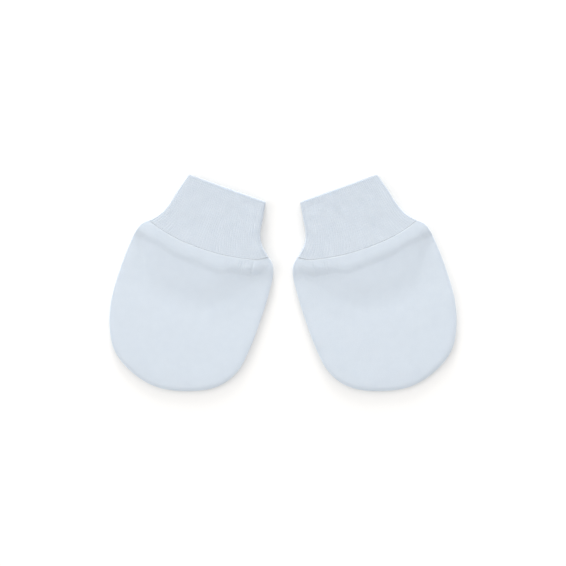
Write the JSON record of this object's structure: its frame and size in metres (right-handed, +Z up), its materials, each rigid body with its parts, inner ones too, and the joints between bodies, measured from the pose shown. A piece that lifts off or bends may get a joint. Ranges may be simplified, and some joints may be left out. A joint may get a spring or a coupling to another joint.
{
  "type": "pair of newborn mittens",
  "caption": "Pair of soft knitted no-scratch mittens for a newborn, thumbless, with fine rib cuffs, lying flat side by side.",
  "frame": {"origin": "middle of the pair's outline, on the surface that the mittens lie on", "axes": "+X from the left mitten to the right one, +Y from the tips towards the wrist edges, +Z up from the surface"},
  "size_m": [0.1892, 0.1178, 0.0058],
  "materials": {
    "body_knit": "plain interlock cotton, matt",
    "rib_knit": "fine one-by-one rib cotton, matt"
  },
  "bodies": {
    "root": {"left_front_panel": "body_knit", "left_back_panel": "body_knit", "left_cuff": "rib_knit", "right_front_panel": "body_knit", "right_back_panel": "body_knit", "right_cuff": "rib_knit"}
  },
  "joints": []
}
